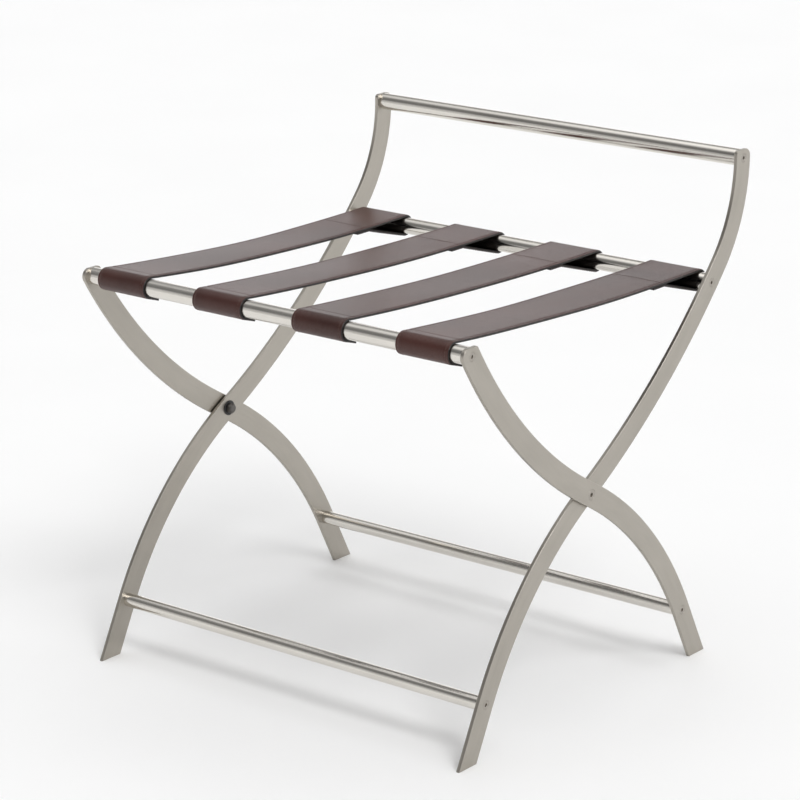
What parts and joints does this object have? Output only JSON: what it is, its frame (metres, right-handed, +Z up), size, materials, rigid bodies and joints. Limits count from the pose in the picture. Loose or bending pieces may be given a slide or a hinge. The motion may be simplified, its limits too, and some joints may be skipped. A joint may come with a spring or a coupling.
{
  "type": "folding luggage rack",
  "caption": "Folding luggage rack of curved flat nickel bars with round rails and brown leather straps, with a raised rail at the back against the wall.",
  "frame": {"origin": "on the floor, under the middle of the whole rack's footprint as it stands open", "axes": "+Z up; +Y from the front seat rail towards the raised top rail at the back; +X along the rails, to the right as seen from the front"},
  "size_m": [0.6, 0.6028, 0.6482],
  "materials": {
    "bars": "brushed satin nickel plating on flat steel bar",
    "tubes": "satin nickel plating on steel tube",
    "screws": "satin nickel plating",
    "plugs": "plain turned steel",
    "nuts": "dark plated",
    "nylon": "black nylon",
    "leather": "grained, waxed, with stitched edges",
    "lining": "black lining leather, smooth"
  },
  "bodies": {
    "back_frame": {"inner_bar_left": "bars", "inner_bar_right": "bars", "top_rail": "tubes", "rear_seat_rail": "tubes", "front_stretcher": "tubes", "top_rail_plugs": "plugs", "rear_seat_rail_plugs": "plugs", "front_stretcher_plugs": "plugs", "top_rail_screws": "screws", "rear_seat_rail_screws": "screws", "front_stretcher_screws": "screws", "pivot_bushes": "nylon", "strap_1_leather": "leather", "strap_2_leather": "leather", "strap_3_leather": "leather", "strap_4_leather": "leather", "strap_1_lining": "lining", "strap_2_lining": "lining", "strap_3_lining": "lining", "strap_4_lining": "lining"},
    "front_frame": {"outer_bar_left": "bars", "outer_bar_right": "bars", "front_seat_rail": "tubes", "rear_stretcher": "tubes", "front_seat_rail_plugs": "plugs", "rear_stretcher_plugs": "plugs", "front_seat_rail_screws": "screws", "rear_stretcher_screws": "screws", "pivot_bolts": "screws", "pivot_nuts": "nuts", "pivot_washers": "nylon"}
  },
  "joints": [
    {"name": "fold", "type": "hinge", "parent": "back_frame", "child": "front_frame", "pos_m": [0, -0.046, 0.28], "axis": [-1, 0, 0], "range_deg": [0, 82], "deforming": ["strap_1_leather", "strap_2_leather", "strap_3_leather", "strap_4_leather", "strap_1_lining", "strap_2_lining", "strap_3_lining", "strap_4_lining"]}
  ]
}
